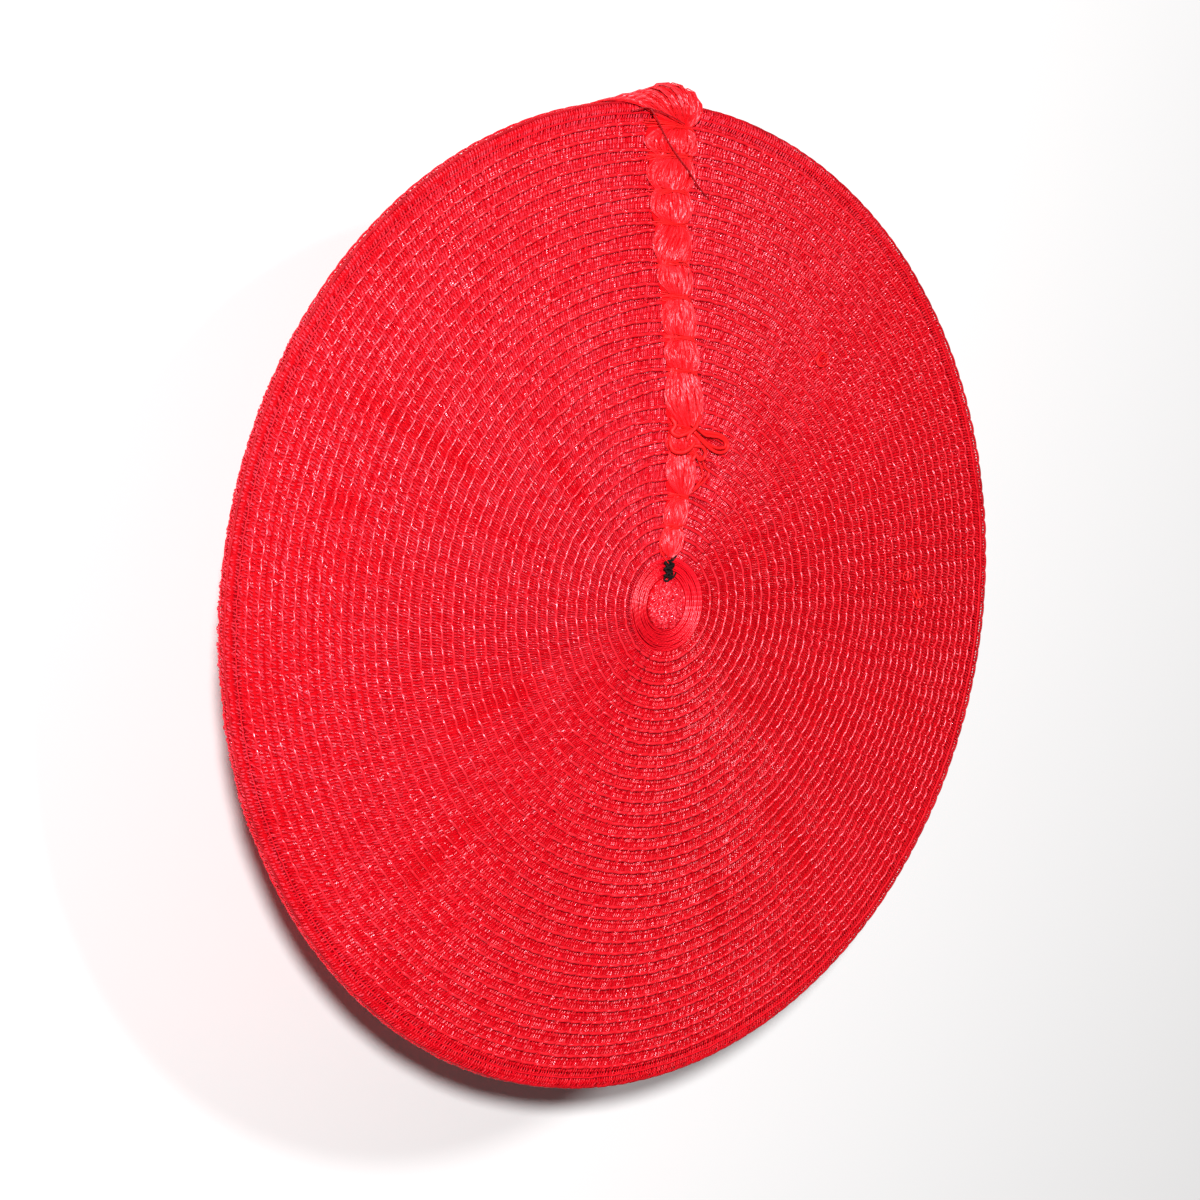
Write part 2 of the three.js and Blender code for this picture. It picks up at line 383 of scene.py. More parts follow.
# What all yarns share, unless a look below says otherwise
yarnLook = {
    "gloss": 1.0, "glossTint": (1.0, 0.64, 0.76), "sheen": 0.0, "sheenTint": (1.0, 0.45, 0.5, 1),
    "sheenRoughness": 0.4, "bend": 1.62, "plyPitch": 0.0036, "plyCount": 1.0,
    "fibreScale": 1500.0, "relief": 0.0001,
}
netLook = {
    "deep": (0.68, 0.0001, 0.003), "main": (0.88, 0.0005, 0.012), "worn_and_sheen": (0.97, 0.07, 0.12),
    "roughness": (0.24, 0.42), "plyPitch": 0.0009, "fibreScale": 1800.0, "relief": 0.00013,
}
looks = {
    "netString": netLook,
    "rimNetString": {**netLook, "roughness": (0.4, 0.6), "gloss": 0.4},
    "ringString": {
        "deep": (0.93, 0.003, 0.010), "main": (0.98, 0.010, 0.022), "worn_and_sheen": (0.99, 0.045, 0.075),
        "roughness": (0.22, 0.38), "plyCount": 2.0, "fibreScale": 1800.0},
    # darker than the stitches: painted shade in the gaps between them and under the rim's cords
    "groundStringPaintedShade": {
        "deep": (0.36, 0.0001, 0.002), "main": (0.6, 0.0003, 0.005), "worn_and_sheen": (0.8, 0.003, 0.012),
        "roughness": (0.7, 0.7), "gloss": 0.1, "plyPitch": 0.003, "plyCount": 60.0,
        "fibreScale": 900.0, "relief": 0.0003},
    # its deep colour paints the shade of the rim's outer bead
    "edgeString": {
        "deep": (0.25, 0.0004, 0.003), "main": (0.84, 0.002, 0.012), "worn_and_sheen": (0.95, 0.03, 0.05),
        "roughness": (0.6, 0.6), "gloss": 0.25, "plyCount": 2.0, "fibreScale": 1800.0},
    "wallString": {
        "deep": (0.3, 0.001, 0.006), "main": (0.56, 0.002, 0.009), "worn_and_sheen": (0.8, 0.02, 0.04),
        "roughness": (0.42, 0.42), "gloss": 0.5, "sheen": 0.05, "plyPitch": 0.02,
        "plyCount": 310.0, "fibreScale": 900.0, "relief": 0.0005},
    "innerYarn": {
        "deep": (0.6, 0.0006, 0.003), "main": (0.9, 0.003, 0.008), "worn_and_sheen": (0.95, 0.02, 0.03),
        "roughness": (0.8, 0.8), "gloss": 0.1, "plyPitch": 0.003, "plyCount": 9.0,
        "fibreScale": 1200.0},
    "seamYarn": {
        "deep": (0.7, 0.0005, 0.003), "main": (0.98, 0.010, 0.018), "worn_and_sheen": (1.0, 0.045, 0.065),
        "roughness": (0.32, 0.5), "gloss": 0.7, "plyPitch": 0.0032},
    "tieYarn": {
        "deep": (0.75, 0.002, 0.004), "main": (1.0, 0.010, 0.011), "worn_and_sheen": (1.0, 0.03, 0.035),
        "roughness": (0.5, 0.5), "gloss": 0.3, "plyPitch": 0.004, "relief": 0.00006},
    "foldString": {
        "deep": (0.55, 0.0005, 0.006), "main": (0.93, 0.003, 0.016), "worn_and_sheen": (0.99, 0.05, 0.08),
        "roughness": (0.35, 0.35), "gloss": 0.8, "plyPitch": 0.002, "relief": 0.00008},
    "patchWool": {
        "deep": (0.4, 0.0005, 0.006), "main": (0.92, 0.006, 0.022), "worn_and_sheen": (1.0, 0.08, 0.12),
        "roughness": (0.2, 0.5), "plyPitch": 0.002, "fibreScale": 2600.0},
    "strayThread": {
        "deep": (0.2, 0.001, 0.002), "main": (0.34, 0.002, 0.004), "worn_and_sheen": (0.6, 0.01, 0.02),
        "roughness": (0.5, 0.5), "gloss": 0.4, "plyPitch": 0.0016, "plyCount": 2.0,
        "fibreScale": 2000.0, "relief": 0.00006},
    "darkThread": {
        "deep": (0.006, 0.004, 0.004), "main": (0.012, 0.009, 0.009), "worn_and_sheen": (0.03, 0.025, 0.025),
        "roughness": (0.7, 0.7), "gloss": 0.1, "glossTint": (1, 1, 1), "plyPitch": 0.0008,
        "plyCount": 2.0, "fibreScale": 4000.0, "relief": 0.00005},
}


# Yarn: the dyed colour with its painted light and shade, a roughness that differs from strand to
# strand, and the twist as relief
def yarnMaterial(name, look):
    look = {**yarnLook, **look}
    material = bpy.data.materials.new(name)
    material.use_nodes = True
    tree = material.node_tree
    strand = addNode(tree, "Attribute", {}, attribute_name="strand")["Vector"]
    twist = addNode(tree, "Group", {
        "Strand": strand, "Ply Pitch": look["plyPitch"], "Ply Count": look["plyCount"],
        "Fibre Scale": look["fibreScale"]}, node_tree=yarnTwist)
    smooth, rough = look["roughness"]
    spread = addNode(tree, "MapRange", {"Value": twist["Chance"], "To Min": smooth, "To Max": rough})
    colours = {key.title(): (*look[key], 1) for key in ("deep", "main", "worn_and_sheen")}
    dye = addNode(tree, "Group", {"Strand": strand, "Fibre": twist["Fibre"], **colours},
                  node_tree=dyeAndPaintedLight)
    bump = addNode(tree, "Bump", {
        "Height": twist["Height"], "Strength": 1.0, "Distance": look["relief"]})
    shader = tree.nodes["Principled BSDF"]
    for label, value in (
        ("Specular IOR Level", look["gloss"]), ("IOR", look["bend"]),
        ("Specular Tint", (*look["glossTint"], 1)), ("Sheen Weight", look["sheen"]),
        ("Sheen Roughness", look["sheenRoughness"]), ("Sheen Tint", look["sheenTint"]),
    ):
        shader.inputs[label].default_value = value
    tree.links.new(spread["Result"], shader.inputs["Roughness"])
    tree.links.new(dye["Color"], shader.inputs["Base Color"])
    tree.links.new(bump["Normal"], shader.inputs["Normal"])
    return material


yarns = {name: yarnMaterial(name, look) for name, look in looks.items()}
print("materials made")

# Camera: the photo's view of the disc, rolled as the photo shows it
view = {
    "azimuth": 261.35, "elevation": 49.93, "roll": 99.2, "distance": 1.38,
    "aimAside": -0.016, "frameWidth": 0.51, "sensorWidth": 36.0,
}


# Links an object and sets it at a place, with its right, upper and back directions
def standAt(thing, place, axes):
    turn = Matrix(np.stack(axes, 1).tolist()).to_4x4()
    thing.matrix_world = Matrix.Translation(place.tolist()) @ turn
    bpy.context.scene.collection.objects.link(thing)


def makeCamera():
    azimuth, elevation, roll = (math.radians(view[key]) for key in ("azimuth", "elevation", "roll"))
    back = np.array((
        math.sin(azimuth) * math.cos(elevation), -math.cos(azimuth) * math.cos(elevation),
        math.sin(elevation)))
    level = unit(np.cross((0.0, 0.0, 1.0), back))
    rise = np.cross(back, level)
    right = math.cos(roll) * level + math.sin(roll) * rise
    place = onAxis(hat["rimHeight"])[0] + right * view["aimAside"] + back * view["distance"]
    camera = bpy.data.objects.new("camera", bpy.data.cameras.new("camera"))
    camera.data.sensor_width = view["sensorWidth"]
    camera.data.lens = view["sensorWidth"] * view["distance"] / view["frameWidth"]
    standAt(camera, place, (right, np.cross(back, right), back))
    bpy.context.scene.camera = camera


# Light: a small bright lamp that casts the hard shadow, a wider and weaker one high over the
# crown, and a pale studio all round
lamps = {
    "key": {"towards": (-0.596, 0.218, 0.772), "distance": 2.4, "size": 0.14, "power": 69.0},
    "soft": {"towards": (0.05, 0.40, 0.915), "distance": 3.0, "size": 0.35, "power": 28.5},
    "studio": 0.06, "studioColour": (1.0, 0.86, 0.84, 1),
}


def makeLights():
    for name in ("key", "soft"):
        lamp = lamps[name]
        data = bpy.data.lights.new(name, "AREA")
        data.shape = "DISK"
        data.size = lamp["size"]
        data.energy = lamp["power"]
        back = unit(np.array(lamp["towards"]))
        side = unit(np.cross((0.0, 1.0, 0.0), back))
        place = onAxis(hat["rimHeight"])[0] + back * lamp["distance"]
        standAt(bpy.data.objects.new(name, data), place, (side, np.cross(back, side), back))
    world = bpy.data.worlds.new("studio")
    world.use_nodes = True
    background = world.node_tree.nodes["Background"]
    background.inputs["Color"].default_value = lamps["studioColour"]
    background.inputs["Strength"].default_value = lamps["studio"]
    bpy.context.scene.world = world
    bpy.context.scene.view_settings.view_transform = "Standard"


# The floor: a large pale square that the hat stands on
floorLook = {"half": 4.0, "colour": (0.95, 0.95, 0.95, 1), "roughness": 0.9, "gloss": 0.1}


def makeFloor():
    half = floorLook["half"]
    mesh = bpy.data.meshes.new("floor")
    mesh.from_pydata([(-half, -half, 0), (half, -half, 0), (half, half, 0), (-half, half, 0)],
                     [], [(0, 1, 2, 3)])
    material = bpy.data.materials.new("paleFloor")
    material.use_nodes = True
    shader = material.node_tree.nodes["Principled BSDF"]
    shader.inputs["Base Color"].default_value = floorLook["colour"]
    shader.inputs["Roughness"].default_value = floorLook["roughness"]
    shader.inputs["Specular IOR Level"].default_value = floorLook["gloss"]
    mesh.materials.append(material)
    floor = bpy.data.objects.new("floor", mesh)
    bpy.context.scene.collection.objects.link(floor)


makeCamera()
makeLights()
makeFloor()
print("camera, lights and floor made")

# Seam: bunches of loose yarn parted by ties. A row gives, for one bunch, where it ends at a tie, how
# far aside its middle lies there, its width and height, the slant of its strands over half its
# width, how much they draw together at its start and end, and where the tie pulls its middle down
seam = {
    "start": 0.0207, "startAside": -0.0002, "pinchWidth": 0.85, "pinchHeight": 0.5,
    "liftStart": 0.196, "gap": 0.0003, "cordReach": 0.0043, "swellPower": 0.7,
    "bodyShare": 0.86, "bodyLess": 0.36, "bodySink": 0.0004, "bodyRows": 150, "bodySides": 22,
    "strands": 92, "strandHalfWidth": 0.00034, "strandSteps": 11, "twist": 0.22,
    "strandStarts": (-0.06, 0.16), "strandEnds": (0.84, 1.06), "layers": (0.84, 1.04),
    "drawPower": 4, "curl": 0.05, "tieStrands": 8, "tieHalfWidth": 0.0003, "tieSteps": 15,
    "tieReach": 1.12, "tieFan": 0.0026, "tieWaist": 0.0008, "tieSink": 0.86, "tieLift": 0.0005,
    "tieLoose": 0.0005, "tieTuck": 0.0014, "dipWidth": 0.004, "thickness": (0.7, 1.2),
}
bunchKeys = ("end", "aside", "width", "height", "slant", "drawStart", "drawEnd", "waist")
seamBunches = [dict(zip(bunchKeys, row)) for row in (
    (0.0330, 0.0008, 0.0125, 0.0019, 0.0, 0.7, 0.1, 0.0025),
    (0.0460, 0.0030, 0.0135, 0.0024, 0.0, 0.2, 0.45, 0.0070),
    (0.0645, 0.0047, 0.0165, 0.0028, -0.2, 0.6, 0.1, 0.0050),
    (0.0740, 0.0054, 0.0195, 0.0034, -0.6, 0.1, 0.4, 0.0095),
    (0.0980, 0.0048, 0.0220, 0.0034, -0.2, 0.6, 0.2, 0.0080),
    (0.1120, 0.0033, 0.0200, 0.0032, 0.2, 0.3, 0.3, 0.0080),
    (0.1290, 0.0016, 0.0195, 0.0032, 0.2, 0.2, 0.5, 0.0040),
    (0.1430, 0.0004, 0.0195, 0.0032, 0.3, 0.6, 0.1, 0.0050),
    (0.1587, -0.0002, 0.0210, 0.0033, 0.9, 0.1, 0.2, 0.0035),
    (0.1730, 0.0003, 0.0232, 0.0034, 0.3, 0.5, 0.1, 0.0020),
    (0.1874, 0.0008, 0.0270, 0.0036, 0.3, 0.2, 0.3, 0.0110),
    (0.1996, 0.0015, 0.0300, 0.0040, 0.2, 0.2, 0.5, 0.0100),
    (0.2170, -0.0020, 0.0320, 0.0042, 0.0, 0.0, 0.0, -0.0020),
)]
seamEnds = np.array([seam["start"]] + [bunch["end"] for bunch in seamBunches])
seamAsides = np.array([seam["startAside"]] + [bunch["aside"] for bunch in seamBunches])
seamWidths = np.array([bunch["width"] for bunch in seamBunches])
seamHeights = np.array([bunch["height"] for bunch in seamBunches])


# The line the seam lies on: along the crown, level to the top of the rim cord, then round it
def seamProfile(along):
    ring, start = hat["rimRing"], seam["liftStart"]
    crossing = np.clip((along - start) / (ring - start), 0, 1)
    onCrown = domeHeight(np.minimum(along, start)) + seam["gap"]
    onCord = hat["rimHeight"] + seam["cordReach"]
    crownLean = np.arctan(2 * hat["domeDrop"] * along / hat["domeRadius"] ** 2)
    over = np.maximum(along - ring, 0) / seam["cordReach"]
    distance = np.minimum(along, ring) + seam["cordReach"] * np.sin(over)
    level = onCrown + (onCord - onCrown) * crossing - seam["cordReach"] * (1 - np.cos(over))
    lean = np.where(along < ring, crownLean * (1 - crossing), over)
    return distance, level, np.sin(lean), np.cos(lean)


# A place on the seam: along it, aside of the hat's +Y line, and lifted off its bed
def seamPlace(along, aside, lift):
    profile = seamProfile(along)
    return placeOn(profile, math.pi / 2 - aside / profile[0], lift)


# The least of the values on the two sides of each tie
def leastAtTies(values):
    return np.concatenate((values[:1], np.minimum(values[:-1], values[1:]), values[-1:]))


# The seam's middle, half width and height at a distance along it
def seamShape(along):
    index = np.clip(np.searchsorted(seamEnds, along, side="right") - 1, 0, len(seamWidths) - 1)
    share = np.clip((along - seamEnds[index]) / (seamEnds[index + 1] - seamEnds[index]), 0, 1)
    swell = np.sin(math.pi * share) ** seam["swellPower"]
    tied = np.interp(along, seamEnds, leastAtTies(seamWidths)) / 2 * seam["pinchWidth"]
    flat = np.interp(along, seamEnds, leastAtTies(seamHeights)) * seam["pinchHeight"]
    halfWidth = tied + (seamWidths[index] / 2 - tied) * swell
    height = flat + (seamHeights[index] - flat) * swell
    return np.interp(along, seamEnds, seamAsides), halfWidth, height


# The yarn under the strands: a closed tube with a flat underside, and a point at each end
def makeSeamBody():
    along = np.linspace(seamEnds[0] + 0.0006, seamEnds[-1] - 0.001, seam["bodyRows"])
    middle, halfWidth, height = seamShape(along)
    around = fullTurn * np.arange(seam["bodySides"]) / seam["bodySides"]
    share = seam["bodyShare"] - seam["bodyLess"] * smoothStep((along - seamEnds[-2]) / 0.004)
    aside = middle[:, None] + (share * halfWidth)[:, None] * np.cos(around)[None]
    arch = np.maximum(0, np.sin(around))[None] ** 0.8
    rows, _ = seamPlace(
        along[:, None] + 0 * aside, aside, (share * height)[:, None] * arch - seam["bodySink"])
    poles, _ = seamPlace(seamEnds[[0, -1]], seamAsides[[0, -1]], np.array((0.0, 0.001)))
    body = shellPiece("seamBody", rows, poles, (along[:, None], (around / fullTurn)[None], -0.2),
                      yarns["innerYarn"])
    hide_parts("seam_bunches")


# Strands of one bunch: spread over its width, drawn towards the waists of its two ties, with a
# slant across it, each lying on the bunch's rounded top
def bunchStrands(index, rng):
    bunch = seamBunches[index]
    before = seamBunches[index - 1]["waist"] if index else seam["startAside"]
    count, steps = seam["strands"], seam["strandSteps"]
    first = rng.uniform(*seam["strandStarts"], (count, 1))
    last = rng.uniform(*seam["strandEnds"], (count, 1))
    share = first + (last - first) * np.linspace(0, 1, steps)[None]
    inside = np.clip(share, 0, 1)
    along = seamEnds[index] + (seamEnds[index + 1] - seamEnds[index]) * share
    middle, halfWidth, height = seamShape(along)
    even = np.linspace(-1, 1, count)
    spread = (0.5 * even + 0.5 * np.sin(math.pi / 2 * even)) * (1 + abs(bunch["slant"]) / 2)
    across = spread + rng.normal(0, 0.06, count)
    bends = share * rng.uniform(0.5, 1.6, (count, 1)) + rng.uniform(0, 1, (count, 1))
    curl = seam["curl"] * np.sin(fullTurn * bends)
    across = np.clip(across[:, None] + bunch["slant"] * (share - 0.5) + curl, -1, 1)
    low = bunch["drawStart"] * np.clip(1 - share, 0, 1) ** seam["drawPower"]
    high = bunch["drawEnd"] * inside ** seam["drawPower"]
    aside = middle + halfWidth * across
    aside = aside + (before - aside) * low + (bunch["waist"] - aside) * high
    across = np.clip((aside - middle) / halfWidth, -1, 1)
    layer = rng.uniform(*seam["layers"], (count, 1))
    arch = np.sqrt(1 - 0.97 * np.abs(across) ** 2.5)
    lift = height * arch * layer + 0.0002 * np.sin(math.pi * inside)
    place, normal = seamPlace(along, aside, lift)
    normal = unit(normal + 0.5 * across[..., None] ** 3 * np.array((1.0, 0.0, 0.0)))
    tone = rng.normal(0.1, 0.4, (count, 1))
    width = seam["strandHalfWidth"] * rng.uniform(*seam["thickness"], (count, 1))
    return threadTubes(
        place, normal, width, width, 3, tone, twist=seam["twist"], start=rng.uniform(0, 2, count))


# Strands of one tie: bundled at the waist, fanned out past both edges, and dipping there
def tieStrands(index, rng):
    bunch = seamBunches[index]
    count, end, waist = seam["tieStrands"], bunch["end"], bunch["waist"]
    share = np.linspace(-1, 1, seam["tieSteps"])[None]
    middle, halfWidth, _ = seamShape(np.array([end]))
    reach = seam["tieReach"] * rng.uniform(0.8, 1.1, (count, 2))
    edgeLeft = middle - reach[:, :1] * halfWidth
    edgeRight = middle + reach[:, 1:] * halfWidth
    aside = waist + np.where(share < 0, (waist - edgeLeft) * share, (edgeRight - waist) * share)
    fan = rng.uniform(-1, 1, (count, 2)) * seam["tieFan"]
    fan = np.where(share < 0, fan[:, :1], fan[:, 1:])
    bundled = rng.uniform(-1, 1, (count, 1)) * seam["tieWaist"]
    along = end + bundled + fan * np.abs(share) ** 1.5
    middleHere, halfHere, heightHere = seamShape(along)
    across = np.clip((aside - middleHere) / halfHere, -1, 1)
    pulled = 1 - (1 - seam["tieSink"]) * np.exp(-((aside - waist) / seam["dipWidth"]) ** 2)
    lift = heightHere * np.sqrt(1 - 0.98 * across ** 2) * pulled + seam["tieLift"]
    lift = lift + rng.uniform(0, seam["tieLoose"], (count, 1)) * (1 - share ** 4)
    lift = lift - seam["tieTuck"] * share ** 6
    place, normal = seamPlace(along, aside, lift)
    tone = rng.normal(0.5, 0.25, (count, 1))
    width = seam["tieHalfWidth"] * rng.uniform(*seam["thickness"], (count, 1))
    width = width * (1 - 0.3 * np.abs(share))
    return threadTubes(place, normal, width, width, 4, tone)


# The tuft: locks of strands that spread from the last tie over the rim cord. A lock gives where
# it ends aside, how far from the axis, how wide it spreads there, how far it bows aside on its
# way and how high it rises
tuft = {
    "start": 0.1990, "startAside": 0.0095, "startSpread": 0.0014, "strands": 30, "steps": 11,
    "halfWidth": 0.00036, "lift": 0.0012, "sway": 0.0009, "twist": 0.25, "ragged": 0.0012,
    "locks": (
        (-0.0340, 0.2155, 0.0030, 0.0014, 0.0008), (-0.0260, 0.2175, 0.0040, 0.0012, 0.0022),
        (-0.0170, 0.2185, 0.0044, 0.0008, 0.0042), (-0.0095, 0.2190, 0.0040, 0.0006, 0.0058),
        (-0.0030, 0.2195, 0.0038, 0.0006, 0.0072), (0.0025, 0.2195, 0.0034, 0.0018, 0.0076),
        (0.0080, 0.2180, 0.0032, 0.0036, 0.0062), (0.0135, 0.2140, 0.0028, 0.0036, 0.0036),
    ),
}


def makeTuft(rng):
    parts = []
    share = np.linspace(0, 1, tuft["steps"])[None]
    count = tuft["strands"]

    def either(low, high):
        return rng.uniform(low, high, (count, 1))

    for endAside, endAlong, spread, bow, high in tuft["locks"]:
        place = np.sort(rng.uniform(-1, 1, count))[:, None]
        layer = either(0.35, 1)
        start = tuft["startAside"] + tuft["startSpread"] * either(-1, 1)
        aside = start + (endAside + spread * place - start) * share ** 0.9
        aside = aside + bow * np.sin(math.pi * share)
        reach = endAlong + tuft["ragged"] * either(-1, 1) - tuft["start"]
        along = tuft["start"] + reach * share
        sway = np.sin(fullTurn * (share * either(0.4, 1.1) + either(0, 1)))
        aside = aside + tuft["sway"] * sway * np.sin(math.pi * share)
        arch = np.sqrt(1 - 0.9 * (place * share ** 0.5) ** 2)
        lift = 0.0008 * (1 - share) + high * layer * arch * np.sin(math.pi * share ** 1.6) ** 0.7
        lift = lift + tuft["lift"] * (1 - share) * layer
        spot, normal = seamPlace(along, aside, lift)
        tone = rng.normal(0.1, 0.6, (count, 1))
        width = tuft["halfWidth"] * either(*seam["thickness"])
        parts.append(threadTubes(
            spot, normal, width, width, 3, tone, twist=tuft["twist"],
            start=rng.uniform(0, 2, count)))
    tubePiece("seamTuft", parts, yarns["seamYarn"], smooth=False)


def makeSeam():
    rng = np.random.default_rng(901)
    makeSeamBody()
    bunches = range(len(seamBunches) - 1)
    strands = [bunchStrands(index, rng) for index in bunches]
    tubePiece("seamStrands", strands, yarns["seamYarn"], smooth=False)
    ties = [tieStrands(index, rng) for index in bunches]
    tubePiece("seamTies", ties, yarns["tieYarn"])
    makeTuft(rng)


# A smooth line through given points, with equal steps between each two: each stretch is a cubic
# whose slope at a point is half the way from the point before to the point after
def smoothLine(points, stepsEach):
    points = np.asarray(points, float)
    padded = np.concatenate((2 * points[:1] - points[1:2], points, 2 * points[-1:] - points[-2:-1]))
    share = np.linspace(0, 1, stepsEach, endpoint=False)[None, :, None]
    first, second, third, fourth = (padded[k:len(points) - 1 + k, None] for k in range(4))
    curve = 0.5 * (2 * second + (third - first) * share
                   + (2 * first - 5 * second + 4 * third - fourth) * share ** 2
                   + (3 * second - first - 3 * third + fourth) * share ** 3)
    return np.concatenate((curve.reshape(-1, points.shape[1]), points[-1:]))


# Loose ends of yarn: the half width in metres, and a line of points along the seam, aside of it and
# above its bed, in mm
looseYarn = {
    "bowLoop": (0.0008, (
        (76, 6.5, 4.0), (74.4, 9.5, 4.2), (73.0, 13.5, 3.0), (72.4, 18.5, 2.4), (71.8, 23.6, 2.2),
        (70.0, 28.0, 2.0), (67.0, 29.8, 2.0), (64.4, 27.6, 2.2), (64.2, 22.6, 2.4),
        (66.6, 17.6, 2.4), (69.6, 13.0, 3.0), (72.6, 8.4, 4.2))),
    "bowLoopBeside": (0.0007, (
        (75.4, 7, 4.4), (73.6, 11.5, 3.6), (71.4, 15.6, 2.9), (70.9, 19.6, 2.6), (70.4, 24.2, 2.4),
        (68.6, 27.6, 2.4), (66.4, 27.4, 2.4), (66.0, 23.4, 2.2), (67.8, 17.6, 2.6), (71.2, 11.6, 3.4),
        (73.4, 8.4, 4.2))),
    "curl": (0.0009, (
        (66.8, 9.0, 3.0), (66.6, 13.0, 3.6), (64.4, 15.6, 3.2), (61.6, 15.2, 2.8), (61.2, 12.4, 3.0),
        (63.2, 10.4, 3.4), (60.6, 8.4, 3.2))),
    "strandRight": (0.0005, (
        (62.5, 13.6, 2.2), (60.4, 15.6, 1.8), (57.9, 17.2, 1.4), (55.9, 19.6, 1.2), (53.2, 18.4, 1.2),
        (51.0, 15.2, 1.6), (48.6, 11.4, 2.2), (47.0, 8.6, 2.8))),
    "strandRightBeside": (0.0005, (
        (61.6, 12.2, 2.4), (57.8, 14.6, 1.8), (54.4, 15.8, 1.6), (51.2, 13.4, 1.8),
        (48.4, 10.2, 2.4))),
    "strandLeft": (0.0004, (
        (32.0, -3.6, 1.8), (28.8, -6.2, 1.4), (25.2, -6.6, 1.2), (21.6, -5.2, 1.2),
        (17.6, -1.8, 1.6))),
    "foldLow": (0.0010, (
        (70.6, -3.4, 2.4), (67.4, -3.9, 3.2), (64.6, -2.4, 3.8), (64.2, 1.6, 4.6), (65.8, 5.2, 5.2),
        (68.8, 8.2, 5.2))),
    "foldHigh": (0.0010, (
        (79.0, -3.8, 3.0), (75.6, -2.4, 4.6), (72.8, -3.8, 4.0), (71.0, -1.2, 4.8), (72.2, 3.2, 5.6),
        (74.2, 7.4, 5.8))),
    "foldRight": (0.0009, (
        (79.6, 12.8, 3.6), (77.6, 10.0, 5.0), (74.6, 7.8, 5.9), (72.2, 4.8, 5.8), (69.0, 3.4, 5.4))),
}


def looseTubes(loose, seed, sides):
    rng = np.random.default_rng(seed)
    parts = []
    for halfWidth, points in loose.values():
        line = smoothLine(points, 5) / 1000
        distance = np.hypot(line[..., 0], line[..., 1])
        place, normal = seamPlace(
            distance, distance * np.arctan2(line[..., 1], line[..., 0]), line[..., 2])
        width = halfWidth * (1 - 0.35 * np.linspace(-1, 1, len(place)) ** 6)
        parts.append(threadTubes(place, normal, width, width, sides, rng.normal(0.4, 0.1)))
    return parts


makeSeam()
tubePiece("seamLoops", looseTubes(looseYarn, 930, 5), yarns["tieYarn"])
print("seam made")

# Centre: smooth folds of string round a woolly patch, and the dark thread's end tied above it
centre = {
    "start": 0.0104, "end": 0.0198, "threads": 14, "humps": 3, "humpHeight": 0.0006,
    "dip": -0.0016, "aside": 0.0006, "wander": 0.00025, "threadHalfWidth": 0.00043, "steps": 130,
    "paintedLightAngle": 0.4, "patchRadius": 0.0102, "patchRise": 0.0028, "patchSink": 0.0012,
    "patchBumps": 0.0003, "patchSteps": 48, "patchUnder": 0.0002, "grains": 900,
    "grainLength": 0.0021, "grainHalfWidth": 0.00036, "grainRise": 0.0011, "egg": 0.10,
}


# The patch's outline is an egg: narrower and longer towards the knot
def eggRadius(angle):
    towards = np.sin(angle)
    return 1 + centre["egg"] * (np.maximum(towards, 0) ** 3) - 0.04 * np.cos(angle) ** 2


# Threads wound side by side round the patch in soft folds: each fold is a wave of the threads'
# height, and the winding rises from the patch out to the net
def makeFolds():
    threads = []
    angle = fullTurn * np.arange(centre["steps"]) / centre["steps"]
    for index in range(centre["threads"]):
        share = index / (centre["threads"] - 1)
        wander = roundNoise(angle, 0.05 * (index % 4) + 0 * angle, 11 + index, 4, 90 + index)
        egg = 1 + (eggRadius(angle) - 1) * (1 - share)
        middle = centre["start"] + (centre["end"] - centre["start"]) * share
        bulge = centre["aside"] * math.sin(math.pi * share) * np.cos(angle)
        distance = middle * egg + centre["wander"] * wander + bulge
        wave = np.cos(fullTurn * (share * centre["humps"] + 0.08 * np.sin(2 * angle)))
        lift = centre["dip"] * (1 - share) - 0.5 * centre["humpHeight"] * (1 + wave)
        place, normal = placeOn(crownProfile(distance), angle, lift)
        tone = 0.35 * roundNoise(angle, 0.1 + 0 * angle, 30, 4, 120 + index)
        # Painted light and shade: the threads are painted paler towards the lit side and deeper on the
        # shaded side of the hollow round the patch
        tone = tone + 0.7 * np.cos(angle - centre["paintedLightAngle"]) - 0.5
        width = centre["threadHalfWidth"]
        threads.append(threadTubes(place, normal, width, width, 4, tone, loop=True))
    tubePiece("centreThreads", threads, yarns["foldString"])


# A place on the patch: a low dome with an egg's outline
def patchPlace(angle, share, lift):
    reach = centre["patchRadius"] * eggRadius(angle) * share
    profile = crownProfile(reach)
    arch = centre["patchRise"] * (1 - share ** 4) - centre["patchSink"]
    return placeOn(profile, angle, arch + lift)


def makePatchBody():
    around = fullTurn * np.arange(centre["patchSteps"])[None] / centre["patchSteps"]
    top = np.linspace(0.06, 1.0, 12)[:, None]
    bumpy = centre["patchBumps"] * roundNoise(around, 0.2 * top, 14, 9, 96)
    topRows, _ = patchPlace(around + 0 * top, top + 0 * around, bumpy)
    reach = centre["patchRadius"] * eggRadius(around) * np.linspace(0.97, 0.1, 4)[:, None]
    sunk = -centre["patchSink"] - centre["patchUnder"]
    underRows, _ = placeOn(crownProfile(reach), around, sunk + 0 * reach)
    rows = np.concatenate((topRows, underRows))
    apex = domeHeight(0.0)
    poles = onAxis(apex + centre["patchRise"] - centre["patchSink"],
                   apex - centre["patchSink"] - centre["patchUnder"])
    body = shellPiece("patchBody", rows, poles, (0.0, 0.0, -0.5), yarns["innerYarn"],
                      poleTone=-0.5)
    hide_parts("centre_patch")


